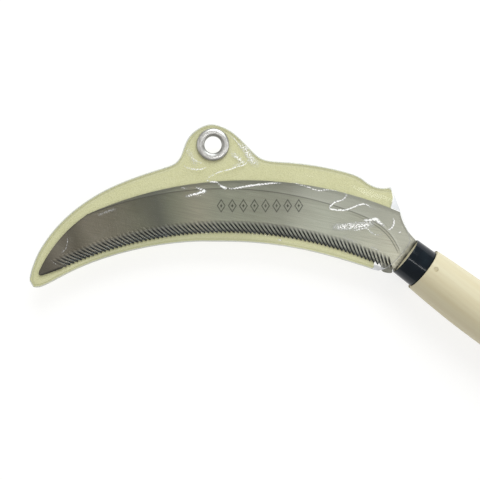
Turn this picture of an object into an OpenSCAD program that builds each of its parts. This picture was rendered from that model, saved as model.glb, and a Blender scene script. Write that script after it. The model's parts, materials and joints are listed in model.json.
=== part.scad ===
// Hand sickle with a saw-toothed blade, lying flat in its hanging sheath.
// The handle runs along +X and the ground face of the blade looks up, along +Z.
// Outlines are set out round the arc of the cutting edge: an angle from the handle's nose
// towards the tip, and a height outward from that arc.

/* [Blade] */
// Radius of the arc that the teeth stand on
edge_radius = 217; // [216:0.5:218]
// Thickness of the blade's sheet
blade_t = 1.2; // [1:0.1:1.2]
// Thickness left at the teeth by the grinding
edge_t = 0.5; // [0.4:0.1:0.7]
// Distance between two teeth along the edge
tooth_pitch = 2.37; // [2:0.01:3]
// Depth of the notch between two teeth
tooth_depth = 1.3; // [0.8:0.1:1.4]
// How far the points of the teeth stand inside the arc
tooth_out = 1; // [0.6:0.05:1.2]
// Lean of the file cuts from square to the edge
cut_lean = 46; // [35:1:50]
// Depth of a file cut at the edge
cut_depth = 0.3; // [0.1:0.05:0.3]
// Length of the tang inside the handle
tang_len = 60; // [50:1:80]

/* [Handle] */
// Length of the handle from the end of its nose to the butt
handle_len = 150; // [135:1:170]
// Width of the handle at the swell near its butt
handle_w = 30; // [29:0.5:33]
// Angle between the handle's axis and the edge arc's tangent at the ferrule
handle_lean = 10.5; // [9:0.5:11]
// Length of the ferrule
ferrule_len = 12.6; // [10:0.1:14]
// Wall thickness of the ferrule at its mouth
ferrule_wall = 0.75; // [0.6:0.05:1]
// Radius of the pin through the handle and the tang
pin_r = 1.3; // [1:0.1:1.6]

/* [Sheath] */
// Thickness of the opaque back sheet
back_t = 1; // [0.8:0.1:1.2]
// Thickness of the clear front film
film_t = 0.5; // [0.3:0.1:0.6]
// Free space between the blade and each sheet
sheath_gap = 0.3; // [0.2:0.05:0.4]

/* [Eyelet] */
// Radius of the eyelet's hole
eyelet_hole_r = 4.8; // [4.5:0.1:5]
// Radius of the eyelet's front flange
eyelet_flange_r = 9.2; // [8.5:0.1:9.5]
// Height of the flange's dome above the film
eyelet_dome = 1.5; // [1.2:0.1:1.8]
// Wall thickness of the eyelet
eyelet_wall = 0.5; // [0.4:0.05:0.6]

/* [Hidden] */
$fn = 96;

// The end of the handle's nose is at [0, 0] while the parts are laid out
nose_h = 9.9;
arc_centre = (edge_radius + nose_h) * [sin(handle_lean), -cos(handle_lean)];

// Heights of the sheets, from the blade's middle plane
blade_top = blade_t / 2;
back_top = -blade_top - sheath_gap;
back_low = back_top - back_t;
rim_top = back_top + film_t;
roof_low = blade_top + sheath_gap;
roof_top = roof_low + film_t;

// Sides of the tang and of the slot that takes it
tang_mouth_w = 20.4;
tang_end_w = 9;
tang_shoulder_x = 8;
tang_neck_w = 14;
slot_clearance = 0.05;

// Ferrule and the turned-down nose inside it
ferrule_bore_r = 10.5;
// How far the ferrule's mouth stands out past the end of the nose
ferrule_lip = 0.6;
nose_len = ferrule_len - ferrule_lip;
nose_r = ferrule_bore_r - 0.02;
ferrule_back_r = ferrule_bore_r + ferrule_wall + 0.3;

// Pin through the tang, off the axis on the spine side
pin_at = [15.3, 3.1];
pin_half_len = 12.2;

// Eyelet in the sheath's tab
eyelet_at = at(28, 48.7);
barrel_r = eyelet_hole_r + eyelet_wall;
washer_r = 8.4;
washer_t = 0.5;
roll_r = 0.8;

// The teeth, from the heel to where the plain belly of the tip starts
tooth_step = tooth_pitch / edge_radius * 180 / PI;
teeth_from = 2.6;
teeth_to = 51;
tooth_count = floor((teeth_to - teeth_from) / tooth_step);
// The notches lean towards the tip, so the teeth cut on the pull
notch_lean = 0.85;
notch_h = tooth_depth - tooth_out;

// Each file cut is a lopsided V whose floor rises to the ground face away from the edge
cut_steep_w = 0.35;
cut_gentle_w = 0.85;
cut_rise = 4;
cut_len = 10;
cut_lead = 1.5;

// The shoulder of the ground face is an arc of its own, round a centre nearer the blade
grind_r = 207.4;
grind_centre = at(27.8, 33.5 - edge_radius);
grind_width = 23;
grind_from = 4.6;
grind_to = 75;

// Rim of the sheath, from the mouth's lower corner round the tip and the tab to its upper corner
sheath_rim = [
    [3.4, -4.4], [9, -5.4], [20, -5.7], [27.5, -5.7], [31, -5.1], [38.5, -4.4], [47, -4.1],
    [52, -4.6], [54.2, -4.8], [55.8, -4.2], [56.6, -2.2], [56.7, 0.5], [56.4, 3],
    [55.6, 6.6], [53.8, 12.7], [51.6, 18.3], [49.2, 23.2], [46.6, 27.4], [43.6, 31.1],
    [40.7, 33.7], [36.6, 36.5], [34, 38.3], [32.8, 39.9], [32, 43.5], [31.3, 50.5],
    [30.5, 55.4], [29.3, 59], [28, 60.3], [26.5, 58.1], [25.3, 54.5], [23.9, 48.6],
    [22.7, 43.6], [21.8, 41.5], [20.5, 40.9], [18, 41.5], [14.7, 42.2], [11, 42.4],
    [9.5, 41.7], [8.4, 40], [7.3, 39.4], [6.3, 40.3], [5.5, 42.1]];
// Mouths of the back and of the front, from the upper corner to the lower one
back_mouth = [[4.7, 36.4], [4.5, 31.4], [3.8, -1]];
film_mouth = [[5.3, 41.4], [3.3, 31.4], [1.7, 24.5], [0.6, 19.5], [0.35, 17.4], [0.8, 9],
              [1.4, 2.6], [1.9, -0.8], [2.75, -3.9]];
// Room for the blade and for its way out: lower side, round the tip, back along the spine
pocket = [
    [-3, -2.4], [27, -2.4], [50, -2.2], [54.4, -1], [55.5, 1.2], [55.5, 3.6], [54.6, 7.2],
    [52.4, 13], [49.4, 18.8], [46.4, 23.4], [44, 26], [38, 27.8], [32.5, 29.7], [26.5, 31.5],
    [22, 32.6], [18, 33.2], [10, 33.6], [-3, 33.6]];

function at(a, h) = arc_centre + (edge_radius + h)
    * [-sin(a + handle_lean), cos(a + handle_lean)];
function laid_out(list) = [for (p = list) at(p.x, p.y)];

// Points of a circle of radius |r| from p to q, bulging to the left of the way there if r > 0
function arc(p, q, r, n = 16) =
    let (d = norm(q - p),
         along = (q - p) / d,
         left = sign(r) * [-along.y, along.x],
         centre = (p + q) / 2 - sqrt(r * r - d * d / 4) * left,
         half = asin(d / 2 / abs(r)))
    [for (i = [0 : n])
        let (t = half * (1 - 2 * i / n))
        centre + abs(r) * (cos(t) * left - sin(t) * along)];

// A curve that runs smoothly through every point of a list
function smooth(pts, n = 4) = concat(
    [for (i = [0 : len(pts) - 2], k = [0 : n - 1])
        let (t = k / n,
             before = pts[max(i - 1, 0)],
             p = pts[i],
             q = pts[i + 1],
             after = pts[min(i + 2, len(pts) - 1)])
        p + (q - before) * t / 2
          + (2 * before - 5 * p + 4 * q - after) * t * t / 2
          + (3 * p - before - 3 * q + after) * t * t * t / 2],
    [pts[len(pts) - 1]]);

// A closed outline, which goes clockwise, moved outward by d
function grown(pts, d) =
    let (n = len(pts))
    [for (i = [0 : n - 1])
        let (way = pts[(i + 1) % n] - pts[(i + n - 1) % n])
        pts[i] + d * [-way.y, way.x] / norm(way)];

teeth_line = [for (i = [0 : tooth_count - 1])
    each [at(teeth_from + i * tooth_step, -tooth_out),
          at(teeth_from + (i + notch_lean) * tooth_step, notch_h)]];
tip_nose = laid_out([[51.4, -0.6], [54.4, 1], [54.8, 1.6], [54.95, 2.6], [54.7, 3.8]]);
tip_back = arc(at(54.7, 3.8), at(45.3, 22.3), 79);
spine = arc(at(45.3, 22.3), at(3.3, 31), edge_radius, 24);
neck = arc(at(3.3, 31), [-2.7, 10.75], -28, 8);
chin = smooth([[-1, -10.1], [-1, -12.2], at(1.3, -2.8), at(2, -3.35), at(2.35, -2.9),
               at(2.6, -1.9)], 3);
tang = [[0, tang_mouth_w / 2], [tang_shoulder_x, tang_neck_w / 2], [tang_len, tang_end_w / 2],
        [tang_len, -tang_end_w / 2], [tang_shoulder_x, -tang_neck_w / 2], [0, -tang_mouth_w / 2]];
blade_outline = concat(chin, teeth_line, tip_nose, tip_back, spine, neck, tang);

rim_line = laid_out(smooth(sheath_rim));
back_outline = concat(rim_line, laid_out(back_mouth));
film_outline = concat(rim_line, laid_out(smooth(film_mouth, 3)));
cavity_outline = laid_out(smooth(pocket, 3));

// Half-widths of the handle along its length, from the shoulder behind the ferrule to the butt
handle_profile = smooth([
    [nose_len, 12], [nose_len + 0.5, 12.6], [nose_len + 1.5, 13],
    [nose_len + 20, 14], [handle_len * 0.33, 14.4], [handle_len * 0.55, 14.1],
    [handle_len * 0.75, 14.4], [handle_len * 0.89, handle_w / 2], [handle_len - 6, 14.3],
    [handle_len - 2, 12], [handle_len - 0.4, 8], [handle_len, 4]], 4);

// The object's box, so that its origin is under the middle of it
low_x = min([for (p = back_outline) p.x]);
low_y = min([for (p = back_outline) p.y]);
high_y = max([for (p = back_outline) p.y]);
home = [-(low_x + handle_len) / 2, -(low_y + high_y) / 2, handle_w / 2];

module slab(outline, low, high) {
    translate([0, 0, low]) linear_extrude(high - low) polygon(outline);
}

// The wedge that grinding takes off the front face, deepest at the teeth
module grind_cut() {
    slope = (blade_t - edge_t) / grind_width;
    far = 60;
    translate(grind_centre)
        rotate(90 + handle_lean + grind_from)
            rotate_extrude(angle = grind_to - grind_from)
                polygon([[grind_r, blade_top], [grind_r - far, blade_top - far * slope],
                         [grind_r - far, blade_top + 1], [grind_r, blade_top + 1]]);
}

// Oblique file cuts across the ground face, one into each notch
module file_cuts() {
    ground_z = blade_top - (blade_t - edge_t);
    above = 1.4;
    for (i = [0 : tooth_count - 1]) {
        foot = at(teeth_from + (i + notch_lean) * tooth_step, notch_h);
        translate([foot.x, foot.y, ground_z])
            rotate(180 + handle_lean + teeth_from + i * tooth_step + cut_lean)
                rotate([90 - cut_rise, 0, 0])
                    translate([0, 0, -cut_lead]) linear_extrude(cut_len)
                        polygon([[0, -cut_depth],
                                 [cut_gentle_w * above, cut_depth * (above - 1)],
                                 [-cut_steep_w * above, cut_depth * (above - 1)]]);
    }
}

module blade() color([0.55, 0.56, 0.52]) translate(home) difference() {
    slab(blade_outline, -blade_top, blade_top);
    grind_cut();
    file_cuts();
    translate(pin_at) cylinder(r = pin_r, h = blade_t * 3, center = true);
}

module handle() color([0.87, 0.8, 0.65]) translate(home) difference() {
    rotate([90, 0, 90]) rotate_extrude()
        polygon(concat([[0, 0], [nose_r, 0], [nose_r, nose_len]],
                       [for (p = handle_profile) [p.y, p.x]],
                       [[0, handle_len]]));
    slab([[-1, 10.7], [0, 10.7],
          [tang_shoulder_x + 1, tang_neck_w / 2 + 0.5], [tang_len + 1, tang_end_w / 2 + 0.2],
          [tang_len + 1, -tang_end_w / 2 - 0.2], [tang_shoulder_x + 1, -tang_neck_w / 2 - 0.5],
          [0, -10.7], [-1, -10.7]],
         -blade_top - slot_clearance, blade_top + slot_clearance);
    translate(pin_at) cylinder(r = pin_r, h = handle_w * 2, center = true);
}

module ferrule() color([0.05, 0.06, 0.07]) translate(home) rotate([90, 0, 90])
    rotate_extrude()
        polygon([[ferrule_bore_r, -ferrule_lip], [ferrule_bore_r + ferrule_wall - 0.3, -ferrule_lip],
                 [ferrule_bore_r + ferrule_wall, 0.4 - ferrule_lip], [ferrule_back_r, nose_len],
                 [ferrule_bore_r, nose_len]]);

module tang_pin() color([0.45, 0.36, 0.27]) translate(home) translate(pin_at)
    cylinder(r = pin_r, h = 2 * pin_half_len, center = true);

module sheath_back() color([0.82, 0.81, 0.63]) translate(home) difference() {
    slab(back_outline, back_low, back_top);
    translate(eyelet_at) cylinder(r = barrel_r, h = 20, center = true);
}

module sheath_front() color([0.85, 0.88, 0.88, 0.4]) translate(home) difference() {
    union() {
        slab(film_outline, back_top, rim_top);
        intersection() {
            slab(film_outline, back_top, roof_top);
            slab(grown(cavity_outline, film_t), back_top, roof_top);
        }
    }
    slab(cavity_outline, back_top - 1, roof_low);
    translate(eyelet_at) cylinder(r = barrel_r, h = 20, center = true);
}

module eyelet() color([0.8, 0.8, 0.8]) translate(home) translate(eyelet_at) {
    ring_r = (eyelet_flange_r - eyelet_hole_r) / 2;
    ring_z = rim_top + eyelet_dome - ring_r;
    barrel_low = back_low - washer_t - roll_r;
    rotate_extrude() union() {
        intersection() {
            translate([eyelet_hole_r, rim_top]) square([ring_r * 2, ring_r * 2]);
            difference() {
                translate([eyelet_hole_r + ring_r, ring_z]) circle(r = ring_r);
                translate([eyelet_hole_r + ring_r, ring_z]) circle(r = ring_r - eyelet_wall);
            }
        }
        translate([eyelet_hole_r, barrel_low])
            square([eyelet_wall, rim_top + eyelet_dome / 2 - barrel_low]);
        intersection() {
            translate([eyelet_hole_r, barrel_low]) square([roll_r * 2, roll_r]);
            translate([eyelet_hole_r + roll_r, back_low - washer_t]) circle(r = roll_r);
        }
    }
}

module eyelet_washer() color([0.72, 0.72, 0.72]) translate(home) translate(eyelet_at)
    translate([0, 0, back_low - washer_t]) difference() {
        cylinder(r = washer_r, h = washer_t);
        cylinder(r = barrel_r, h = 3 * washer_t, center = true);
    }

blade();
handle();
ferrule();
tang_pin();
sheath_back();
sheath_front();
eyelet();
eyelet_washer();
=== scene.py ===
import json
import math
import bmesh
import bpy
import numpy as np
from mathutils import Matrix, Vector
from mathutils.bvhtree import BVHTree


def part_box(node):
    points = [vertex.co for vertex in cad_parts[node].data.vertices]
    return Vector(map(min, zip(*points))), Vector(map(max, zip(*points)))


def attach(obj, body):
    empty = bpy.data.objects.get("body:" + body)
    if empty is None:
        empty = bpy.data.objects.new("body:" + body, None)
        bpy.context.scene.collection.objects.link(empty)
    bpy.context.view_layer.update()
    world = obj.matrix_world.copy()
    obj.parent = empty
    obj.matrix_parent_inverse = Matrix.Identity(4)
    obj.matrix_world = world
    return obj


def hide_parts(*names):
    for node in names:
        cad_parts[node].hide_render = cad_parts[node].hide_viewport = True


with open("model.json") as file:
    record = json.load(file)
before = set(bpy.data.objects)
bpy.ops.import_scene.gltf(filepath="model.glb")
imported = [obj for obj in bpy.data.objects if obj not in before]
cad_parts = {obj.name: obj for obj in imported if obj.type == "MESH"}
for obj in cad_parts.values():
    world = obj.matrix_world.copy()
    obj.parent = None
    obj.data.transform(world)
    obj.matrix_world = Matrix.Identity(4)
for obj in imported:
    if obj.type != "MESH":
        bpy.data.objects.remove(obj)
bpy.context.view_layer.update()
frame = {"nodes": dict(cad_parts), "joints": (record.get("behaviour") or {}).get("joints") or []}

MM = 0.001

# ---------------------------------------------------------------- places that the frame gives
ARC_X, ARC_Y = frame["joints"][0]["pos_m"][:2]    # the sheath slides off round the arc's centre
ferrule_low, ferrule_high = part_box("ferrule")
NOSE_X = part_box("handle")[0].x    # the end of the wood, a little inside the ferrule's mouth
NOSE_H = 9.9 * MM                 # how far outside the arc the handle's axis starts
AXIS_Y = (ferrule_low.y + ferrule_high.y) / 2
MID_Z = (ferrule_low.z + ferrule_high.z) / 2
LEAN = math.degrees(math.atan2(ARC_X - NOSE_X, AXIS_Y - ARC_Y))    # from +Y round to the handle's nose
EDGE_R = math.hypot(ARC_X - NOSE_X, AXIS_Y - ARC_Y) - NOSE_H
EYELET_X, EYELET_Y = (sum(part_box("eyelet"), Vector()) / 2).xy

# Heights of the sheets above the blade's middle plane, in mm
BLADE_TOP = (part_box("blade")[1].z - MID_Z) / MM
BACK_LOW = (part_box("sheath_back")[0].z - MID_Z) / MM
BACK_TOP = (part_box("sheath_back")[1].z - MID_Z) / MM
ROOF_TOP = (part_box("sheath_front")[1].z - MID_Z) / MM


def at(a, h):
    """The place in the row frame, in metres, at angle a in degrees and height h in mm."""
    turn = np.radians(np.asarray(a) + LEAN)
    r = EDGE_R + np.asarray(h) * MM
    return np.stack([ARC_X - r * np.sin(turn), ARC_Y + r * np.cos(turn)], -1)


# ---------------------------------------------------------------- camera, lights and floor
TOP_A = 26.56                     # degrees, the angle a straight above the arc's centre in the picture
VIEW_TURN = LEAN + TOP_A          # degrees that the handle points below the picture's horizontal
VIEW_DISTANCE = 0.49              # metres from the camera to the blade's plane
VIEW_WIDTH = 0.2688               # metres of that plane that the picture takes in
TUBE_TURN = -115                  # degrees from the picture's horizontal to the tube light
VIEW_MIDDLE = (24.27, -4.63)      # what is in the middle of the picture, as a and h
FLOOR_REACH, FLOOR_Z = 6.0, -0.0005    # metres
view_x, view_y = at(*VIEW_MIDDLE)
view_right = Vector((math.cos(math.radians(VIEW_TURN)), math.sin(math.radians(VIEW_TURN)), 0))
view_up = Vector((-view_right.y, view_right.x, 0))
view_centre = Vector((view_x, view_y, MID_Z))

scene = bpy.context.scene
scene.view_settings.view_transform = "Standard"


def link(name, data):
    """A new object in the scene."""
    made = bpy.data.objects.new(name, data)
    scene.collection.objects.link(made)
    return made


camera = link("camera", bpy.data.cameras.new("camera"))
camera.location = view_centre + Vector((0, 0, VIEW_DISTANCE))
camera.rotation_euler = (0, 0, math.radians(VIEW_TURN))
camera.data.lens = camera.data.sensor_width * VIEW_DISTANCE / VIEW_WIDTH
camera.data.clip_start = 0.01
scene.camera = camera


def area_light(name, right, up, height, size, power, length=None, colour=(1, 1, 1)):
    """A soft light placed in metres from the middle of the view and aimed at it, power in watts."""
    lamp = bpy.data.lights.new(name, "AREA")
    lamp.shape = "RECTANGLE"
    lamp.size = size
    lamp.size_y = length or size
    lamp.energy = power
    lamp.color = colour
    placed = link(name, lamp)
    placed.location = view_centre + view_right * right + view_up * up + Vector((0, 0, height))
    placed.rotation_euler = (view_centre - placed.location).to_track_quat("-Z", "Y").to_euler()
    return placed


area_light("softbox_top", right=0.3, up=1.35, height=0.95, size=1.2, power=21.5, colour=(0.95, 0.99, 1))
area_light("softbox_right", right=1.3, up=-0.1, height=0.8, size=0.8, power=5)
area_light("softbox_left", right=-1.3, up=0.2, height=0.8, size=0.8, power=2)

# A bare tube overhead, which faces straight down and draws the thin bright line on the ferrule
tube = area_light("tube", right=0.204, up=-0.166, height=1.0, size=0.025, power=1.2, length=0.6)
tube.rotation_euler = (0, 0, math.radians(VIEW_TURN + TUBE_TURN))

world = bpy.data.worlds.new("studio")
scene.world = world
world.use_nodes = True
backdrop = world.node_tree.nodes["Background"]
backdrop.inputs["Color"].default_value = (1, 0.97, 0.90, 1)
backdrop.inputs["Strength"].default_value = 0.46


# ---------------------------------------------------------------- material building
class Net:
    """A material's node tree, with short ways to add its nodes."""

    def __init__(self, name):
        self.material = bpy.data.materials.new(name)
        self.material.use_nodes = True
        self.tree = self.material.node_tree
        self.tree.nodes.clear()

    def node(self, kind, inputs=(), **settings):
        """A new node, with its settings, and its inputs fed by name or number."""
        made = self.tree.nodes.new("ShaderNode" + kind)
        for name, value in settings.items():
            setattr(made, name, value)
        for key, value in dict(inputs).items():
            self.feed(made.inputs[key], value)
        return made

    def feed(self, socket, value):
        """Links another node's output to a socket, or sets its constant value."""
        if isinstance(value, bpy.types.NodeSocket):
            self.tree.links.new(value, socket)
        else:
            socket.default_value = value

    def math(self, operation, a, b=0.0, c=0.0, clamp=False):
        made = self.node("Math", {0: a, 1: b, 2: c}, operation=operation, use_clamp=clamp)
        return made.outputs[0]

    def plus(self, a, b, clamp=False):
        return self.math("ADD", a, b, clamp=clamp)

    def times(self, a, b):
        return self.math("MULTIPLY", a, b)

    def larger(self, a, b):
        return self.math("MAXIMUM", a, b)

    def attribute(self, name):
        """The numbers that set_attribute gave the piece's points."""
        return self.node("Attribute", attribute_name=name).outputs["Fac"]

    def place(self, scale=(1, 1, 1), turn=0.0):
        """Object coordinates, turned about Z by so many degrees and then stretched."""
        coordinates = self.node("TexCoord").outputs["Object"]
        turned = self.node("Mapping", {"Vector": coordinates, "Rotation": (0, 0, math.radians(turn))})
        return self.node("Mapping", {"Vector": turned.outputs[0], "Scale": scale}).outputs[0]

    def noise(self, vector, scale, detail, roughness=0.5):
        made = self.node("TexNoise", {"Vector": vector, "Scale": scale, "Detail": detail,
                                      "Roughness": roughness})
        return made.outputs["Fac"]

    def band(self, value, low, high, to_low=0.0, to_high=1.0):
        """value between low and high, taken smoothly to between to_low and to_high."""
        made = self.node("MapRange", {"Value": value, "From Min": low, "From Max": high,
                                      "To Min": to_low, "To Max": to_high},
                         interpolation_type="SMOOTHSTEP")
        return made.outputs["Result"]

    def peak(self, value, centre, width):
        """1 where value is at centre, falling smoothly to 0 at width to either side."""
        off = self.math("ABSOLUTE", self.math("SUBTRACT", value, centre))
        return self.band(off, 0, width, 1, 0)

    def mix(self, share, a, b):
        """Colour a, with a share of colour b laid over it."""
        made = self.node("Mix", data_type="RGBA")
        for socket, value in zip((made.inputs[0], made.inputs[6], made.inputs[7]), (share, a, b)):
            self.feed(socket, value)
        return made.outputs[2]

    def ramp(self, value, span, stops):
        """The colour at value, from stops of (value, red, green, blue) between 0 and span."""
        made = self.node("ValToRGB", {0: self.math("DIVIDE", value, span)})
        elements = made.color_ramp.elements
        while len(elements) < len(stops):
            elements.new(0.5)
        for element, (place, *colour) in zip(elements, stops):
            element.position = place / span
            element.color = (*colour, 1)
        return made.outputs["Color"]

    def bump(self, height, distance):
        made = self.node("Bump", {"Height": height, "Distance": distance, "Strength": 1.0})
        return made.outputs["Normal"]

    def principled(self, **inputs):
        named = {key.replace("_", " "): value for key, value in inputs.items()}
        return self.node("BsdfPrincipled", named).outputs[0]

    def finish(self, shader):
        out = self.node("OutputMaterial")
        self.tree.links.new(shader, out.inputs["Surface"])
        return self.material


# Painted reflection: the steel's colour along the blade, with the light and dark that it mirrors painted in;
# degrees from the handle's nose, then red, green and blue
STEEL_REFLECTION_TONES = [
    (0, 0.47, 0.46, 0.38), (3, 0.39, 0.385, 0.318), (6, 0.335, 0.337, 0.28), (9, 0.315, 0.323, 0.272),
    (12, 0.333, 0.345, 0.292), (15, 0.295, 0.303, 0.255), (18, 0.22, 0.225, 0.185),
    (22, 0.197, 0.205, 0.162), (27, 0.23, 0.24, 0.188), (31, 0.245, 0.236, 0.179), (33, 0.197, 0.2, 0.15),
    (35.5, 0.115, 0.12, 0.098), (39, 0.142, 0.14, 0.103), (43, 0.203, 0.186, 0.143),
    (46, 0.245, 0.222, 0.176), (48.2, 0.15, 0.135, 0.104), (51, 0.252, 0.228, 0.190),
    (53.2, 0.15, 0.135, 0.112), (56, 0.12, 0.11, 0.092),
]
TONE_SPAN = 60                    # degrees
MARK_PITCH = 6.2                  # mm from one lozenge of the etched row to the next
MARK_WIDE, MARK_HIGH = 2.5, 3.9   # mm, half of a lozenge's width and height
MARK_ROW = 24.9                   # mm, half of the row's length
# the black of the painted shade in the file cuts, the chin, the tip's end and the slot's edge
SHADE_BLACK = (0.010, 0.014, 0.017, 1)


def steel_material():
    """Ground stainless sheet: fine grinding marks, painted reflections in blotches along it, file cuts drawn
    in painted shade, painted highlights between them, and an etched band.
    """
    net = Net("ground_steel")
    painted_shade = net.attribute("painted_shade")
    shoulder = net.attribute("shoulder")
    along = net.attribute("along")
    blotch = net.noise(net.place(), 38, 4, 0.55)
    fine = net.noise(net.place((60, 1400, 200), -VIEW_TURN + 12), 1, 3, 0.6)
    scratch = net.noise(net.place((500, 30, 200), -VIEW_TURN - 60), 1, 2, 0.6)
    # painted reflection: the steel is drawn dull towards the tip and bright at the heel
    wander = net.plus(along, net.times(net.math("SUBTRACT", blotch, 0.5), 3))
    steel = net.ramp(wander, TONE_SPAN, STEEL_REFLECTION_TONES)
    steel = net.mix(net.band(blotch, 0.35, 0.75, 0, 0.15), steel, (0.36, 0.36, 0.30, 1))
    steel = net.mix(net.band(fine, 0.35, 0.7, 0, 0.2), steel, (0.09, 0.09, 0.075, 1))
    # the strip along the back that isn't ground is paler, most of all near the heel
    unground = net.band(shoulder, 0.2, -0.2)
    paleness = net.plus(net.band(along, 14, 20, 0.45, 0.1), net.band(along, 32, 36, 0, 0.08))
    steel = net.mix(net.times(unground, paleness), steel, (0.50, 0.51, 0.46, 1))
    # painted shade: the grinding's border is drawn as a dark line along the shoulder's fold, with a second
    # one inside it at the heel
    second = net.times(net.band(along, 10, 6), net.peak(shoulder, 1.4, 0.45))
    border = net.larger(net.peak(shoulder, 0.0, 0.5), second)
    border = net.times(border, net.band(along, 1.1, 1.5, 0, 0.62))
    steel = net.mix(border, steel, (0.06, 0.06, 0.055, 1))
    # the etched band is a row of lozenges with a dot in each; out grows from 0 in the middle to 1 at the tips
    x = net.attribute("mark_x")
    y = net.attribute("mark_y")
    from_middle = net.math("PINGPONG", net.plus(x, MARK_PITCH / 2), MARK_PITCH / 2)
    out = net.plus(net.math("DIVIDE", from_middle, MARK_WIDE),
                   net.math("DIVIDE", net.math("ABSOLUTE", y), MARK_HIGH))
    mark = net.larger(net.peak(out, 0.86, 0.24), net.band(out, 0.36, 0.2, 0, 1))
    mark = net.times(mark, net.math("LESS_THAN", net.math("ABSOLUTE", x), MARK_ROW))
    mark = net.times(mark, net.band(net.noise(net.place(), 900, 2), 0.3, 0.45, 0.6, 1))
    steel = net.mix(net.times(mark, 0.85), steel, (0.05, 0.05, 0.045, 1))
    # painted highlight: the lands between the file cuts are drawn lighter, like lit flanks
    lit_flank_highlight = net.times(net.band(net.attribute("band"), 0.05, 0.5), 0.2)
    steel = net.mix(lit_flank_highlight, steel, (0.55, 0.55, 0.52, 1))
    # painted shade laid over the steel
    colour = net.mix(painted_shade, steel, SHADE_BLACK)
    rough = net.plus(net.times(fine, 0.12), 0.27)
    rough = net.plus(rough, net.times(mark, 0.2))
    normal = net.bump(net.plus(fine, net.times(scratch, 0.4)), 0.000012)
    return net.finish(net.principled(Base_Color=colour, Metallic=0.88, Roughness=rough, Normal=normal))


def wood_material():
    """Plain white wood turned smooth: faint growth bands along the handle, fibres and short dark pores."""
    net = Net("white_wood")
    warp = net.noise(net.place((9, 60, 60)), 1, 3)
    bands = net.node("TexWave", {"Vector": net.place((2, 100, 100), 1.2), "Scale": 0.9, "Distortion": 5.0,
                                 "Detail": 3.0, "Detail Scale": 0.8}, bands_direction="Y").outputs["Fac"]
    fibre = net.noise(net.place((22, 900, 900)), 1, 4, 0.65)
    pores = net.noise(net.place((120, 2600, 2600)), 1, 2, 0.6)
    cloud = net.noise(net.place((7, 160, 160)), 1, 3)
    colour = net.mix(net.band(cloud, 0.3, 0.75), (0.62, 0.575, 0.41, 1), (0.58, 0.52, 0.345, 1))
    colour = net.mix(net.band(bands, 0.25, 0.9, 0, 0.18), colour, (0.52, 0.44, 0.28, 1))
    colour = net.mix(net.band(fibre, 0.4, 0.75, 0, 0.2), colour, (0.54, 0.46, 0.30, 1))
    colour = net.mix(net.band(pores, 0.62, 0.75, 0, 0.25), colour, (0.42, 0.32, 0.17, 1))
    colour = net.mix(net.band(warp, 0.35, 0.8, 0, 0.25), colour, (0.66, 0.62, 0.47, 1))
    rough = net.plus(net.times(fibre, 0.2), 0.4)
    normal = net.bump(net.math("SUBTRACT", fibre, net.times(pores, 0.7)), 0.00004)
    return net.finish(net.principled(Base_Color=colour, Roughness=rough, Normal=normal,
                                     Specular_IOR_Level=0.45))


def ferrule_material():
    """Moulded black plastic: glossy, with faint turning marks and fine scuffs."""
    net = Net("black_plastic")
    scuff = net.noise(net.place((900, 60, 60)), 1, 3, 0.6)
    cloud = net.noise(net.place(), 160, 2)
    colour = net.mix(net.band(cloud, 0.3, 0.8), (0.0025, 0.006, 0.011, 1), (0.005, 0.011, 0.017, 1))
    colour = net.mix(net.band(scuff, 0.6, 0.8, 0, 0.06), colour, (0.07, 0.08, 0.09, 1))
    rough = net.band(scuff, 0.35, 0.85, 0.11, 0.22)
    normal = net.bump(net.plus(cloud, net.times(scuff, 0.08)), 0.00004)
    return net.finish(net.principled(Base_Color=colour, Roughness=rough, Normal=normal,
                                     Specular_IOR_Level=0.25))


def pin_material():
    """The pin's cut end: nearly as pale as the wood around it, with a browner middle."""
    net = Net("stained_pin")
    spots = net.noise(net.place(), 1500, 3)
    colour = net.mix(net.band(spots, 0.35, 0.65), (0.59, 0.535, 0.375, 1), (0.62, 0.57, 0.41, 1))
    colour = net.mix(net.times(net.attribute("core"), 0.36), colour, (0.27, 0.19, 0.10, 1))
    rough = net.band(spots, 0.3, 0.7, 0.45, 0.7)
    return net.finish(net.principled(Base_Color=colour, Metallic=0.1, Roughness=rough,
                                     Normal=net.bump(spots, 0.00004)))


WELD_IN = 1.5                     # mm from the rim to the line that is pressed where the sheets are welded


def vinyl_material():
    """Cream vinyl sheet: pebbled grain, a little mottling, a pressed weld line and darker rims."""
    net = Net("cream_vinyl")
    rim = net.attribute("rim")
    grain = net.node("TexVoronoi", {"Vector": net.place(), "Scale": 1500.0, "Randomness": 1.0},
                     feature="SMOOTH_F1").outputs["Distance"]
    pits = net.noise(net.place(), 2400, 2, 0.6)
    mottle = net.noise(net.place(), 60, 4, 0.6)
    colour = net.mix(net.band(mottle, 0.3, 0.7), (0.585, 0.573, 0.33, 1), (0.615, 0.607, 0.36, 1))
    colour = net.mix(net.band(pits, 0.35, 0.7, 0, 0.42), colour, (0.47, 0.465, 0.25, 1))
    colour = net.mix(net.band(grain, 0.1, 0.6, 0, 0.36), colour, (0.74, 0.73, 0.49, 1))
    colour = net.mix(net.times(net.peak(rim, WELD_IN, 0.5), 0.6), colour, (0.38, 0.38, 0.22, 1))
    colour = net.mix(net.band(rim, 2.0, 0.5, 0, 0.2), colour, (0.44, 0.45, 0.25, 1))
    colour = net.mix(net.times(net.attribute("shade"), 0.4), colour, (0.33, 0.34, 0.20, 1))
    rough = net.band(pits, 0.3, 0.7, 0.42, 0.6)
    height = net.plus(net.times(grain, -0.8), net.times(pits, 0.5))
    return net.finish(net.principled(Base_Color=colour, Roughness=rough,
                                     Normal=net.bump(height, 0.00012), Specular_IOR_Level=0.45))


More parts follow.
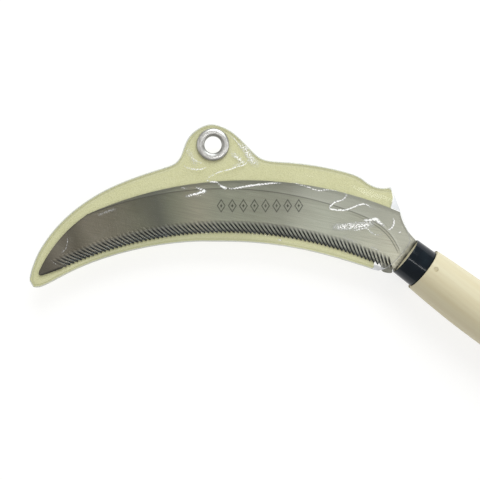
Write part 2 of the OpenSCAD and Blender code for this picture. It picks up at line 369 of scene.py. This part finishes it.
def film_material():
    """Clear soft vinyl: see-through and glossy, with painted highlights along its creases and in patches, and
    whitened at its weld and its cut edge.
    """
    net = Net("clear_vinyl")
    rim = net.attribute("rim")
    outer = net.attribute("outer")
    rub = net.noise(net.place(), 420, 3, 0.6)
    breakup_and_shade = net.noise(net.place(), 1500, 2, 0.6)
    # painted highlights: white lines along the creases, broken up by noise
    line = net.times(net.attribute("crease_highlight"), net.band(breakup_and_shade, 0.35, 0.62, 0.64, 1.15))
    line = net.band(line, 0.31, 0.66, 0, 0.97)
    # painted highlight: patches of crazed shine, broken up by noise
    highlight_patch = net.times(net.attribute("highlight_patch"), net.band(breakup_and_shade, 0.45, 0.58, 0.1, 1.2))
    cut_edge = net.band(rim, 0.95, 0.35, 0, 0.6)
    mouth_edge = net.band(net.attribute("lip"), 0.5, 0.2, 0, 0.35)
    edge = net.larger(cut_edge, mouth_edge)
    weld = net.times(net.peak(rim, 2.3, 0.6), 0.08)
    haze = net.plus(net.band(rub, 0.45, 0.8, 0.0, 0.03), net.attribute("loose"))
    solid = net.larger(net.larger(line, highlight_patch), edge)
    solid = net.times(net.plus(solid, net.plus(weld, haze), clamp=True), outer)
    # the painted highlights are whiter than the milky film
    tint = net.mix(net.larger(line, highlight_patch), (0.68, 0.70, 0.74, 1), (0.98, 0.98, 0.97, 1))
    normal = net.bump(net.peak(rim, WELD_IN, 0.5), -0.00004)
    milky = net.principled(Base_Color=tint, Roughness=0.3, Normal=normal)
    rough = net.band(rim, 3, 2, 0.12, 0.35)
    gloss = net.node("BsdfGlossy", {"Color": (1, 1, 1, 1), "Roughness": rough, "Normal": normal}).outputs[0]
    clear = net.node("BsdfTransparent", {"Color": (0.99, 0.992, 0.988, 1)}).outputs[0]
    body = net.node("MixShader", {0: solid, 1: clear, 2: milky}).outputs[0]
    facing = net.node("LayerWeight", {"Blend": 0.5, "Normal": normal}).outputs["Facing"]
    mirror = net.math("MULTIPLY_ADD", net.math("POWER", facing, 4), 0.35, 0.016)
    mirror = net.times(mirror, outer)
    return net.finish(net.node("MixShader", {0: mirror, 1: body, 2: gloss}).outputs[0])


def nickel_material():
    """Nickel plate with a soft shine, painted shade down the sides of the dome, and hairline scratches."""
    net = Net("nickel_plate")
    cloud = net.noise(net.place(), 300, 3, 0.6)
    hair = net.noise(net.place((2500, 300, 900), 35), 1, 2, 0.7)
    colour = net.mix(net.band(cloud, 0.3, 0.75), (0.62, 0.62, 0.61, 1), (0.76, 0.76, 0.75, 1))
    # painted shade on the dome's sides
    breakup_and_shade = net.times(net.attribute("dome_shade"), 0.62)
    colour = net.mix(breakup_and_shade, colour, (0.17, 0.17, 0.155, 1))
    rough = net.plus(net.band(cloud, 0.35, 0.75, 0.34, 0.40),
                     net.band(hair, 0.55, 0.8, 0, 0.14))
    return net.finish(net.principled(Base_Color=colour, Metallic=1.0, Roughness=rough,
                                     Normal=net.bump(hair, 0.00001)))


def floor_material():
    """Matt white studio floor."""
    net = Net("studio_floor")
    cloud = net.noise(net.place(), 3, 2)
    colour = net.mix(net.band(cloud, 0.3, 0.7), (0.31, 0.31, 0.31, 1), (0.33, 0.33, 0.33, 1))
    return net.finish(net.principled(Base_Color=colour, Roughness=0.9, Emission_Color=(1, 1, 1, 1),
                                     Emission_Strength=0.72, Specular_IOR_Level=0.1))


# ---------------------------------------------------------------- mesh building
def mesh_piece(name, points, faces, material, body, node, sharp):
    """A finished piece, riding on a body and standing for a CAD node.

    The points are in the row frame, in metres. Edges that turn more than sharp degrees are drawn sharp.
    """
    mesh = bpy.data.meshes.new(name)
    mesh.from_pydata(np.asarray(points).tolist(), [], [list(map(int, f)) for f in faces])
    shape = bmesh.new()
    shape.from_mesh(mesh)
    bmesh.ops.recalc_face_normals(shape, faces=shape.faces)
    shape.to_mesh(mesh)
    shape.free()
    mesh.polygons.foreach_set("use_smooth", [True] * len(mesh.polygons))
    mesh.set_sharp_from_angle(angle=math.radians(sharp))
    mesh.materials.append(material)
    piece = link(name, mesh)
    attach(piece, body)
    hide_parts(node)
    return piece


def set_attribute(piece, name, values):
    """One number for each point of the piece, which its material reads."""
    layer = piece.data.attributes.new(name, "FLOAT", "POINT")
    layer.data.foreach_set("value", np.asarray(values, np.float32))


def lathe(profile, steps, origin, axis):
    """Points and faces of a closed profile of (radius, distance) in mm, turned about an axis."""
    axis = Vector(axis)
    side = axis.orthogonal().normalized()
    other = axis.cross(side)
    points = []
    for i in range(steps):
        t = 2 * math.pi * i / steps
        out = side * math.cos(t) + other * math.sin(t)
        points += [Vector(origin) + (out * r + axis * d) * MM for r, d in profile]
    n = len(profile)
    faces = []
    for i in range(steps):
        for k in range(n):
            here, there = i * n, (i + 1) % steps * n
            faces.append((here + k, here + (k + 1) % n, there + (k + 1) % n, there + k))
    return points, faces


def bow(centre, radius, start, end, steps):
    """Points on an arc of a profile, from angle start to angle end in degrees."""
    angles = np.radians(np.linspace(start, end, steps + 1))
    return [(centre[0] + radius * math.cos(t), centre[1] + radius * math.sin(t)) for t in angles]


def curve(points, steps):
    """A smooth curve through a list of points, with so many steps from each to the next."""
    points = np.asarray(points, float)
    ahead = np.vstack([points[:1], points, points[-1:]])
    out = []
    for i in range(len(points) - 1):
        before, p, q, after = ahead[i:i + 4]
        for t in np.arange(steps) / steps:
            out.append(p + (q - before) * t / 2 + (2 * before - 5 * p + 4 * q - after) * t**2 / 2
                       + (3 * p - before - 3 * q + after) * t**3 / 2)
    out.append(points[-1])
    return np.array(out)


def smoothstep(x):
    """Rises smoothly from 0 to 1 as x does, and stays level outside."""
    x = np.clip(x, 0, 1)
    return x * x * (3 - 2 * x)


class Outline:
    """How far a CAD node reaches in towards the arc's centre and out from it, at any angle."""

    def __init__(self, node, heights):
        mesh = frame["nodes"][node].data
        self.tree = BVHTree.FromPolygons([v.co for v in mesh.vertices], [p.vertices for p in mesh.polygons])
        self.heights = heights

    def reach(self, a):
        """Lowest and highest h at angle a, or None where the node has no part there."""
        near, far = 0.6 * EDGE_R, 1.5 * EDGE_R
        turn = math.radians(a + LEAN)
        out = Vector((-math.sin(turn), math.cos(turn), 0))
        low, high = [], []
        for z in self.heights:
            start = Vector((ARC_X, ARC_Y, MID_Z + z * MM))
            hit = self.tree.ray_cast(start + out * near, out, far - near)
            if hit[0] is None:
                continue
            low.append((near + hit[3] - EDGE_R) / MM)
            back = self.tree.ray_cast(start + out * far, -out, far - near)
            high.append((far - back[3] - EDGE_R) / MM)
        return (min(low), max(high)) if low else None

    def columns(self, angles):
        """The angles where the node is, with its reach at each."""
        rows = [(a, *reach) for a in angles if (reach := self.reach(a)) is not None]
        return np.array(rows)


def grid_faces(columns, rows):
    """Faces of a grid of points stored column by column."""
    i, j = np.meshgrid(np.arange(columns - 1), np.arange(rows - 1), indexing="ij")
    first = (i * rows + j).ravel()
    return np.stack([first, first + 1, first + rows + 1, first + rows], 1)


def thick(faces, count):
    """Closes a one-sided grid into a plate, whose second side's points follow the first's."""
    edges = dict.fromkeys(pair for face in faces for pair in zip(face, np.roll(face, -1)))
    # an edge that no second face runs along the other way is on the rim, and gets a wall
    walls = [(q, p, p + count, q + count) for p, q in edges if (q, p) not in edges]
    under = faces[:, ::-1] + count
    return [tuple(f) for f in faces] + [tuple(f) for f in under] + walls


def distance_to(points, line):
    """Distance from each point to a line of straight pieces, and how far along it that is, from 0 to 1."""
    best = np.full(len(points), 1e9)
    where = np.zeros(len(points))
    steps = len(line) - 1
    for k in range(steps):
        p, way = line[k], line[k + 1] - line[k]
        t = np.clip((points - p) @ way / max(way @ way, 1e-18), 0, 1)
        off = np.linalg.norm(points - p - t[:, None] * way, axis=1)
        closer = off < best
        best = np.where(closer, off, best)
        where = np.where(closer, (k + t) / steps, where)
    return best, where


def spread_out(share):
    """Rows set closer together near both rims."""
    return 0.5 - 0.5 * np.cos(np.pi * share)


# ---------------------------------------------------------------- the blade
TOOTH_PITCH = 2.37                # mm along the edge
TOOTH_STEP = math.degrees(TOOTH_PITCH * MM / EDGE_R)
TEETH_FROM, TEETH_TO = 2.6, 50.7  # degrees
TOOTH_OUT, NOTCH_H = -1.0, 0.3    # mm, the heights of a tooth's point and of a notch's bottom
CUT_BAND = 7.4                    # mm, how far the file cuts reach in from the edge
CUT_SLANT = 1.05                  # mm along the edge for each mm of height, at the edge
CUT_STRAIGHTENS = 0.024           # how fast a cut turns upright with height
CUT_DEPTH = 0.34                  # mm
CUT_WIDTH = 0.38                  # half the width of a cut, as a share of the pitch
STROKE_WIDTH, STROKE_BLUR = 0.25, 0.16    # the same for its black middle, and for how softly that ends
NOTCH_PHASE = 0.31                # where a notch is deepest, as a share of the pitch along the cuts

# The face's shoulder runs along the back in one arc and turns down in a second one at the heel
GRIND_R, GRIND_CENTRE = 207.4 * MM, (27.8, 33.5 - EDGE_R / MM)
HEEL_R, HEEL_CENTRE = 70.7, (15.5, -38.3)    # mm
HEEL_ENDS = 10                    # degrees, where the heel's arc stops counting
FAR_INSIDE = 30                   # mm, more than the face is wide
HEEL_BLEND = 5.0                  # mm, over which the two arcs run into each other
GRIND_WIDTH = 23                  # mm from the shoulder to the edge
EDGE_T = 0.5                      # mm, the sheet's thickness at the edge
HOLLOW = 0.06                     # mm, how far the ground face is hollow in its middle
SHOULDER_DEPTH, SHOULDER_WIDTH = 0.05, 0.5    # mm, the fine furrow along the shoulder
SPINE_ROUND = 0.12                # mm taken off the two corners of the back

TANG_END, HEEL_START = -15.2, -0.4    # degrees; the columns stand closer together from the heel on
SPINE_HEEL = 3.3                  # degrees, where the back of the blade starts
TIP_END = 54.9                    # degrees
PER_TOOTH = 10                    # columns of points for each tooth
ROWS_BAND, ROWS_FACE = 14, 22     # rows of points over the file cuts, and over the rest
MARKS_AT = (21.7, 15.2)           # the middle of the etched row, as a and h
NO_MARK = 99                      # mm, well outside the row


def ground_depth(a, h):
    """How far inside the ground face a place is, in mm: 0 on its shoulder, less outside it."""
    place = at(a, h)
    inside = (GRIND_R - np.linalg.norm(place - at(*GRIND_CENTRE), axis=-1)) / MM
    heel = HEEL_R - np.linalg.norm(place - at(*HEEL_CENTRE), axis=-1) / MM
    heel = np.where(a > HEEL_ENDS, FAR_INSIDE, heel)
    mixed = np.clip(0.5 + 0.5 * (heel - inside) / HEEL_BLEND, 0, 1)
    return heel * (1 - mixed) + inside * mixed - HEEL_BLEND * mixed * (1 - mixed)


def blade_starts():
    """The angles where the columns of points start on the edge, and where the last tooth ends."""
    step = TOOTH_STEP / PER_TOOTH
    teeth = round((TEETH_TO - TEETH_FROM) / TOOTH_STEP)
    tang = np.arange(TANG_END, HEEL_START, 0.35)
    heel = np.arange(HEEL_START, TEETH_FROM - 0.01, step)
    toothed = TEETH_FROM + np.arange(teeth * PER_TOOTH + 1) * step
    tip = np.linspace(toothed[-1], TIP_END - 0.35, 26)[1:]
    return np.concatenate([tang, heel, toothed, tip]), toothed[-1]


def column_angle(start, h, lean):
    """Angle at height h along a column, which leans with the file cuts and then stands square."""
    rise = np.clip(h - TOOTH_OUT, 0, CUT_BAND)
    run = (CUT_SLANT * rise - CUT_STRAIGHTENS * rise ** 2) * lean
    return start + np.degrees(run * MM / EDGE_R)


def blade_column(outline, start, lean, last_tooth):
    """One column's angles and heights, with how deep the file has cut and how much painted shade it gets
    there.
    """
    phase = ((start - TEETH_FROM) / TOOTH_STEP) % 1
    if TEETH_FROM - 1e-6 <= start <= last_tooth + 1e-6:
        notch = min(phase / NOTCH_PHASE, (1 - phase) / (1 - NOTCH_PHASE))
        low = TOOTH_OUT + (NOTCH_H - TOOTH_OUT) * notch
    else:
        low = outline.reach(start)[0]
    # the column leans, so its top on the back is found in a few steps
    high = low + 2
    for _ in range(6):
        found = outline.reach(float(column_angle(start, high, lean)))
        high = found[1] if found else high - 0.5
    band_top = min(TOOTH_OUT + CUT_BAND, low + (high - low) * 0.7)
    h = np.concatenate([np.linspace(low, band_top, ROWS_BAND, endpoint=False),
                        np.linspace(band_top, high, ROWS_FACE)])
    away = min(phase, 1 - phase)
    rise = h - TOOTH_OUT
    fade = np.clip(1 - rise / CUT_BAND, 0, 1)
    present = smoothstep((start - 0.4) / 0.25) * smoothstep((TEETH_TO + 0.8 - start) / 1.5)
    above_chin = smoothstep((h - 0.2) / 1.2) if start < TEETH_FROM else 1
    cut = np.clip(1 - away / CUT_WIDTH, 0, 1) * np.sqrt(fade) * present * above_chin
    # painted shade: the cuts are drawn black, and near the edge the lands between them are darkened too
    stroke = np.clip((STROKE_WIDTH - away) / STROKE_BLUR + 0.5, 0, 1) * smoothstep(fade / 0.4)
    land = 0.8 * (1 - smoothstep((rise - 1) / 2.4))
    dark = np.maximum(stroke, land) * present * above_chin
    return column_angle(start, h, lean), h, cut, dark


def paint_blade(blade, a, h, deep, dark):
    """Sets what the steel's material reads, for the points of the ground face and then of the plain back."""
    place = at(a, h)
    plain = np.zeros(len(a))
    # painted shade: besides the cuts, the chin under the heel, the edge's end at the tip and the line where
    # the blade goes into the slot in the wood are darkened
    chin = 0.7 * smoothstep((2.4 - h) / 2.5) * smoothstep((3.0 - a) / 0.6) * smoothstep((a + 0.9) / 0.5)
    belly = 0.75 * smoothstep((1.1 - h + 0.25 * (a - 51)) / 1.2) * smoothstep((a - 50.6) / 0.6)
    entry = 0.85 * smoothstep(((place[:, 0] - ferrule_low.x) / MM + 0.5) / 0.45)
    set_attribute(blade, "painted_shade", np.concatenate([np.max([dark, chin, belly, entry], axis=0), plain]))
    # where the painted highlight between the file cuts is drawn
    band = smoothstep((TOOTH_OUT + CUT_BAND - h) / 3)
    band = band * smoothstep((a - 1.9) / 0.6) * smoothstep((52 - a) / 2)
    set_attribute(blade, "band", np.concatenate([band, plain]))
    set_attribute(blade, "shoulder", np.concatenate([deep, plain - 20]))
    set_attribute(blade, "along", np.concatenate([a, a]))
    across = (place - at(*MARKS_AT)) / MM
    for name, way in (("mark_x", view_right), ("mark_y", view_up)):
        set_attribute(blade, name, np.concatenate([across @ np.array(way.xy), plain + NO_MARK]))


def make_blade():
    """The toothed sheet: a flat back, and a face that is ground hollow from its shoulder to the edge."""
    outline = Outline("blade", [-0.5])
    starts, last_tooth = blade_starts()
    leans = smoothstep((TIP_END + 1.5 - starts) / 4)
    columns = [blade_column(outline, start, lean, last_tooth) for start, lean in zip(starts, leans)]
    a, h, cut, dark = (np.concatenate(part) for part in zip(*columns))
    deep = ground_depth(a, h)
    slope = (2 * BLADE_TOP - EDGE_T) / GRIND_WIDTH
    hollow = HOLLOW * np.sin(np.clip(deep / GRIND_WIDTH, 0, 1) * math.pi)
    furrow = SHOULDER_DEPTH * np.exp(-(deep / SHOULDER_WIDTH) ** 2)
    top = BLADE_TOP - np.clip(deep, 0, None) * slope - hollow - furrow - CUT_DEPTH * cut
    rows = ROWS_BAND + ROWS_FACE
    on_spine = np.tile(np.arange(rows) == rows - 1, len(starts))
    top = np.where(on_spine, top - SPINE_ROUND, top)
    low = np.full(len(a), -BLADE_TOP) + np.where(on_spine, SPINE_ROUND, 0)
    top = np.maximum(top, low + 0.1)
    points = np.vstack([np.column_stack([at(a, h), MID_Z + z * MM]) for z in (top, low)])
    faces = thick(grid_faces(len(starts), rows)[:, ::-1], len(a))
    blade = mesh_piece("ground_blade", points, faces, steel_material(), "sickle", "blade", 24)
    paint_blade(blade, a, h, deep, dark)


# ---------------------------------------------------------------- the sheath's two sheets
# Creases in the film, each a real ridge with a painted highlight along it: half-width and height of the ridge
# in mm, strength of the painted highlight from 0 to 1, and its (a, h) places
CREASE_HIGHLIGHTS = [
    (0.8, 0.2, 0.9, [(31.0, 47.0), (31.2, 45.4), (30.7, 42.3), (30.1, 40), (29.4, 38.3), (28.8, 37)]),
    (0.9, 0.25, 1.0, [(31.9, 38.8), (31.3, 36.5), (30.3, 35.3), (29.5, 35.1), (28.7, 36.7)]),
    (0.7, 0.15, 0.7, [(25.9, 46.9), (25.6, 43.4), (24.9, 42.9)]),
    (0.7, 0.1, 0.8, [(26.5, 54.8), (25.6, 52.6), (24.7, 48.1), (23.9, 44.8), (22.8, 41)]),
    (0.9, 0.25, 0.95, [(23.3, 43), (24, 38), (25, 36.3), (26.1, 34.5), (27.4, 33.1), (28.3, 31.2),
                       (29.1, 29.1)]),
    (0.9, 0.2, 0.9, [(29.1, 29.1), (28.6, 28.2), (27.6, 27.4), (27, 25.2)]),
    (1.5, 0.3, 1.0, [(27.2, 26), (26.7, 24.6), (26.2, 23.9)]),
    (1.0, 0.25, 1.0, [(26.5, 24), (25.4, 24), (24.5, 24.7), (23.5, 25.7), (22.2, 26.9), (20.2, 28.4),
                      (18.9, 29)]),
    (0.8, 0.15, 0.8, [(32.4, 25.6), (31.4, 24.9)]),
    (1.0, 0.2, 0.9, [(30.5, 25.3), (29.7, 24), (28.9, 22.5)]),
    (1.3, 0.25, 1.0, [(28.9, 22.5), (29.6, 22.3), (30.7, 21.3), (32, 20.4)]),
    (0.8, 0.2, 0.8, [(18.9, 29), (17.7, 30.2), (16.6, 29.6), (15.5, 29.1), (14.8, 28.5), (14, 28.7),
                     (13.1, 30.1), (12, 30.7), (11.2, 31)]),
    (0.9, 0.25, 1.0, [(11.4, 31), (10.7, 30.5), (10.6, 29.2), (10.9, 26.6), (11.7, 24.6), (12.1, 22.6),
                      (12.3, 20.6), (11.9, 20.1), (10.6, 21.1), (9.8, 22.6), (9, 25.4), (8.2, 27.7),
                      (7.6, 28.1), (6.9, 27.2), (5.5, 28.6)]),
    (0.8, 0.2, 0.75, [(10.9, 11.5), (10, 13.1), (8.7, 15.9), (7.8, 18.4)]),
    (1.7, 0.25, 1.0, [(7.6, 18.8), (6.4, 21.2), (5.8, 22.3), (5.4, 21.3), (4.4, 20.4)]),
    (0.9, 0.2, 0.8, [(9.5, 10.2), (7.8, 13), (6.8, 15.6), (5.9, 14.5), (5.1, 14.1), (4.3, 15.9)]),
    (0.9, 0.15, 1.0, [(3.9, 26.3), (3.5, 24.6), (3.5, 20.8), (3.9, 19)]),
    (0.8, 0.1, 0.8, [(2.4, 19.8), (2.1, 21.3)]),
    (0.9, 0.15, 0.54, [(49, 14.7), (49.1, 12.3), (49.8, 8.5), (51.1, 7)]),
    (0.8, 0.1, 0.52, [(52.4, 7.2), (52.1, 4), (51.6, 0.9)]),
    (0.9, 0.1, 0.9, [(18.7, -2.4), (18, -2.6)]),
]
# Painted highlights: patches of crazed shine between creases; half-width in mm, strength, and the middle
# line's places
HIGHLIGHT_PATCHES = [
    (2.6, 1.3, [(10.9, 10.9), (9.2, 13.2), (7.2, 16.6), (6.2, 19.6)]),
    (2.6, 1.1, [(24.6, 49), (23.95, 46), (23.3, 41.1), (22.6, 38.5)]),
    (1.8, 0.9, [(25.6, 43.5), (25.2, 42.3), (24.6, 40), (24.2, 38.1)]),
    (2.0, 0.5, [(30.9, 47), (30.6, 42), (30.2, 38)]),
    (0.9, 0.45, [(43.9, 19.9), (42.8, 20.3), (41.5, 20.5)]),
    (1.2, 0.5, [(25.6, 36.4), (24.2, 38.9)]),
    (1.0, 0.35, [(9.4, 7.4), (8.6, 6.4), (7.4, 6.6)]),
    (0.8, 0.5, [(5.2, 6.9), (3.9, 6.5)]),
]
HOLE_R = 5.6                      # mm, the hole that the eyelet's barrel goes through
SHEET_FROM, SHEET_TO = 0.2, 57.5  # degrees, past both ends of the sheath
UPPER_WELD_FROM, LOWER_WELD_FROM = 5.2, 2.6    # degrees, where the open mouth ends and the welded rims start
FILM_T = 0.3                      # mm
FILM_GAP = 0.12                   # mm from the CAD back sheet's top to the film where they are welded
ROOF_DROP = 0.32                  # mm from the CAD film's top down to the raised film, as room for its ridges
TIP_MM = 3.9                      # mm along the sheath for each degree, near the tip


def sheet_grid(outline, step, rows):
    """A grid over a sheath sheet: angles, heights, places, distances from the rim in mm, and faces."""
    columns = outline.columns(np.arange(SHEET_FROM, SHEET_TO, step))
    share = spread_out(np.linspace(0, 1, rows))
    a = np.repeat(columns[:, 0], rows)
    low, high = columns[:, 1:2], columns[:, 2:3]
    h = (low + (high - low) * share).ravel()
    place = at(a, h)
    faces = grid_faces(len(columns), rows)[:, ::-1]
    # the rim is made of every fourth place along the two welds and of the tip's end
    upper = at(columns[:, 0], columns[:, 2])[columns[:, 0] > UPPER_WELD_FROM][::4]
    lower = at(columns[:, 0], columns[:, 1])[columns[:, 0] > LOWER_WELD_FROM][::4]
    end = at(columns[-1, 0], np.linspace(columns[-1, 1], columns[-1, 2], 3))
    rim = np.min([distance_to(place, line)[0] for line in (upper, lower, end)], axis=0) / MM
    # the hole for the eyelet, with its edge drawn in to a true circle
    eye = np.array([EYELET_X, EYELET_Y])
    from_eye = np.linalg.norm(place - eye, axis=1)
    kept = (from_eye[faces] > (HOLE_R - 0.35) * MM).all(1)
    used = np.zeros(len(a), bool)
    lost = np.zeros(len(a), bool)
    used[faces[kept].ravel()] = True
    lost[faces[~kept].ravel()] = True
    edge = used & lost
    place[edge] = eye + (place[edge] - eye) / from_eye[edge, None] * HOLE_R * MM
    number = np.cumsum(used) - 1
    keep = np.flatnonzero(used)
    return a[keep], h[keep], place[keep], rim[keep], number[faces[kept]]


def make_sheath_back():
    """The cream sheet behind the blade, with rounded rims and its weld pressed in from below."""
    outline = Outline("sheath_back", [(BACK_LOW + BACK_TOP) / 2])
    a, h, place, rim, faces = sheet_grid(outline, 0.2, 56)
    round_off = 0.28 * (1 - smoothstep(rim / 0.6))
    weld = 0.12 * np.exp(-((rim - WELD_IN) / 0.45) ** 2)
    top = BACK_TOP - 0.08 - round_off
    low = BACK_LOW + 0.1 + round_off + weld
    points = np.vstack([np.column_stack([place, MID_Z + z * MM]) for z in (top, low)])
    back = mesh_piece("cream_back", points, thick(faces, len(a)), vinyl_material(), "sheath",
                      "sheath_back", 50)
    set_attribute(back, "rim", np.concatenate([rim, rim]))
    # the strip beyond the teeth is darker
    shade = smoothstep((0.5 - h) / 1.5) * smoothstep((a - 14) / 12) * smoothstep((50 - a) / 6)
    set_attribute(back, "shade", np.concatenate([shade, np.zeros(len(a))]))


def marks(place, lines):
    """Strength of a set of drawn lines at each point, and how high they stand in mm."""
    strength = np.zeros(len(place))
    height = np.zeros(len(place))
    for width, rise, amount, line in lines:
        track = curve(line, 6)
        off, where = distance_to(place, at(track[:, 0], track[:, 1]))
        off = off / MM / width
        ends = np.sin(np.pi * np.clip(where, 0.02, 0.98)) ** 0.35
        strength = np.maximum(strength, amount * ends * np.clip(1 - off, 0, 1))
        height = np.maximum(height, 0.45 * rise * ends * np.exp(-off ** 2))
    return strength, height


def make_sheath_front():
    """The clear film: flat where it is welded, raised over the blade, and creased."""
    outline = Outline("sheath_front", [-0.65, 1.1])
    a, h, place, rim, faces = sheet_grid(outline, 0.11, 110)
    blade = Outline("blade", [-0.5])
    sampled = np.arange(SPINE_HEEL + 0.2, TIP_END, 0.5)
    spine = np.interp(a, sampled, [blade.reach(x)[1] for x in sampled])
    # how far each point lies past the blade, on three sides, in mm
    past_spine = h - spine - 0.4
    past_edge = TOOTH_OUT - 0.3 - h
    past_tip = (a - TIP_END - 0.1) * TIP_MM
    slack = np.clip(rim - 1.8, 0, 9)
    lift = 1 - smoothstep(past_spine / (np.clip(past_spine, 0, None) + slack + 0.01))
    lift *= 1 - smoothstep(past_edge / 2.6)
    lift *= 1 - smoothstep(past_tip / 3.6)
    flat = BACK_TOP + FILM_GAP + FILM_T
    # slow swells of limp film, which die out towards the weld
    swell = 0.05 * np.sin(a * 0.9 + 0.2 * h) + 0.04 * np.sin(a * 2.3 - 0.17 * h + 1.1)
    swell *= smoothstep((rim - 2.5) / 4)
    crease_highlight, ridge = marks(place, CREASE_HIGHLIGHTS)
    crease_highlight *= 1 - 0.1 * smoothstep(past_spine / 0.5)
    highlight_patch, _ = marks(place, [(width, 0, amount, line) for width, amount, line in HIGHLIGHT_PATCHES])
    round_off = 0.12 * (1 - smoothstep(rim / 0.35))
    top = flat + (ROOF_TOP - ROOF_DROP - flat) * lift + swell + ridge - round_off
    low = top - FILM_T
    # at the mouth, where nothing lies behind the film, it looks milky above the blade and below the teeth
    above = 0.8 * smoothstep((h - spine - 0.2) / 0.3) * smoothstep((4.75 - a) / 0.15)
    under = 0.85 * smoothstep((-1.2 - h) / 0.4) * smoothstep((3.75 - a) / 0.15)
    loose = np.maximum(above, under)
    mouth = outline.columns(np.arange(0.35, 5.3, 0.1))
    below = mouth[mouth[:, 0] < 2.7]
    lip_line = np.vstack([at(mouth[::-1, 0], mouth[::-1, 2]), at(below[:, 0], below[:, 1])])
    lip = distance_to(place, lip_line)[0] / MM
    points = np.vstack([np.column_stack([place, MID_Z + z * MM]) for z in (top, low)])
    film = mesh_piece("clear_film", points, thick(faces, len(a)), film_material(), "sheath",
                      "sheath_front", 60)
    none = np.zeros(len(a))
    for name, values in (("crease_highlight", crease_highlight), ("highlight_patch", highlight_patch), ("loose", loose), ("outer", none + 1)):
        set_attribute(film, name, np.concatenate([values, none]))
    for name, values in (("rim", rim), ("lip", lip)):
        set_attribute(film, name, np.concatenate([values, values]))


# ---------------------------------------------------------------- turned pieces and the floor
EYELET_HOLE, EYELET_FLANGE = 4.8, 9.2    # mm, radii
EYELET_WALL, EYELET_ROLL = 0.4, 0.8      # mm
WASHER_HOLE, WASHER_RIM, WASHER_T = 5.35, 8.4, 0.5    # mm
FERRULE_BORE, FERRULE_MOUTH, FERRULE_BACK = 10.52, 11.22, 11.52    # mm, radii


def make_eyelet():
    """One drawn piece: a hollow domed flange, the barrel, and the roll behind the washer."""
    seat = BACK_TOP + 0.5
    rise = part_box("eyelet")[1].z / MM - MID_Z / MM - seat
    middle, half = (EYELET_HOLE + EYELET_FLANGE) / 2, (EYELET_FLANGE - EYELET_HOLE) / 2
    wall = EYELET_WALL
    turns = np.linspace(0.02, math.pi - 0.02, 24)
    outer = [(middle - half * math.cos(t), seat + rise * math.sin(t) ** 0.8) for t in turns]
    inner = [(middle - (half - wall) * math.cos(t), seat + (rise - wall) * math.sin(t) ** 0.8)
             for t in turns[::-1]]
    roll_at = (EYELET_HOLE + EYELET_ROLL, BACK_LOW - 0.5)
    under = bow(roll_at, EYELET_ROLL - wall, 180, 360, 10)
    over = bow(roll_at, EYELET_ROLL, 360, 180, 12)
    profile = outer + inner + [(EYELET_HOLE + wall, seat - 0.2)] + under + over + [(EYELET_HOLE, seat - 0.2)]
    points, faces = lathe(profile, 96, (EYELET_X, EYELET_Y, MID_Z), (0, 0, 1))
    eyelet = mesh_piece("rolled_eyelet", points, faces, nickel_material(), "sheath", "eyelet",
                        40)
    # painted shade: the plate is drawn bright along the dome's crest and darker down both of its sides
    from_middle = np.hypot(*(np.array(points)[:, :2] - (EYELET_X, EYELET_Y)).T) / MM
    crest = middle + 0.3
    dome_shade = smoothstep((np.abs(from_middle - crest) - 0.5) / 1.1)
    set_attribute(eyelet, "dome_shade", np.where(from_middle > crest, 0.9 * dome_shade, dome_shade))
    return eyelet


def make_washer(material):
    """The flat ring that the eyelet is rolled over, with a rounded rim."""
    low, high = BACK_LOW - WASHER_T + 0.02, BACK_LOW + 0.02
    profile = [(WASHER_HOLE, high), (WASHER_HOLE, low + 0.1), (WASHER_HOLE + 0.15, low)]
    profile += bow((WASHER_RIM - 0.25, low + 0.25), 0.25, -90, 90, 5) + [(WASHER_RIM - 0.3, high)]
    points, faces = lathe(profile, 96, (EYELET_X, EYELET_Y, MID_Z), (0, 0, 1))
    mesh_piece("eyelet_ring", points, faces, material, "sheath", "eyelet_washer", 40)


def make_ferrule():
    """A short tube, a little wider at the back, with rounded ends."""
    length = (ferrule_high.x - ferrule_low.x) / MM
    bore, mouth, back = FERRULE_BORE, FERRULE_MOUTH, FERRULE_BACK
    profile = [(bore, 0.25), (bore + 0.15, 0.05)] + bow((mouth - 0.3, 0.3), 0.3, -90, 0, 5)
    profile += [(mouth + (back - mouth) * t, 0.6 + (length - 1.2) * t) for t in (0.33, 0.66, 0.9)]
    profile += bow((back - 0.22, length - 0.25), 0.22, 0, 90, 5) + [(bore, length)]
    points, faces = lathe(profile, 128, (ferrule_low.x, AXIS_Y, MID_Z), (1, 0, 0))
    mesh_piece("black_ferrule", points, faces, ferrule_material(), "sickle", "ferrule", 40)


def make_pin():
    """The pin through the handle, with both ends filed nearly flush."""
    low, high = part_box("tang_pin")
    middle = (low + high) / 2
    half = (high.z - low.z) / 2 / MM
    r = (high.x - low.x) / 2 / MM
    end = [(0.01, 0), (r * 0.6, 0.01), (r * 0.92, 0.03), (r, 0.1)]    # radius, and depth below the end
    profile = [(radius, half - depth) for radius, depth in end]
    profile += [(radius, depth - half) for radius, depth in end[::-1]]
    points, faces = lathe(profile, 32, middle, (0, 0, 1))
    pin = mesh_piece("pin_end", points, faces, pin_material(), "sickle", "tang_pin", 40)
    off = np.hypot(*(np.array(points) - np.array(middle)).T[:2]) / MM
    set_attribute(pin, "core", smoothstep(1.3 - off / (r * 0.6)))


def make_floor():
    """The pale floor, just under the handle's swell."""
    mesh = bpy.data.meshes.new("floor")
    corners = [(x * FLOOR_REACH, y * FLOOR_REACH, 0) for x, y in ((-1, -1), (1, -1), (1, 1), (-1, 1))]
    mesh.from_pydata(corners, [], [(0, 1, 2, 3)])
    mesh.materials.append(floor_material())
    floor = link("floor", mesh)
    floor.location.z = FLOOR_Z


make_blade()
make_sheath_back()
make_sheath_front()
eyelet = make_eyelet()
make_washer(eyelet.data.materials[0])
make_ferrule()
make_pin()

# the CAD's handle has the right shape, so it only gets its wood
handle = frame["nodes"]["handle"]
handle.data.materials.clear()
handle.data.materials.append(wood_material())

make_floor()
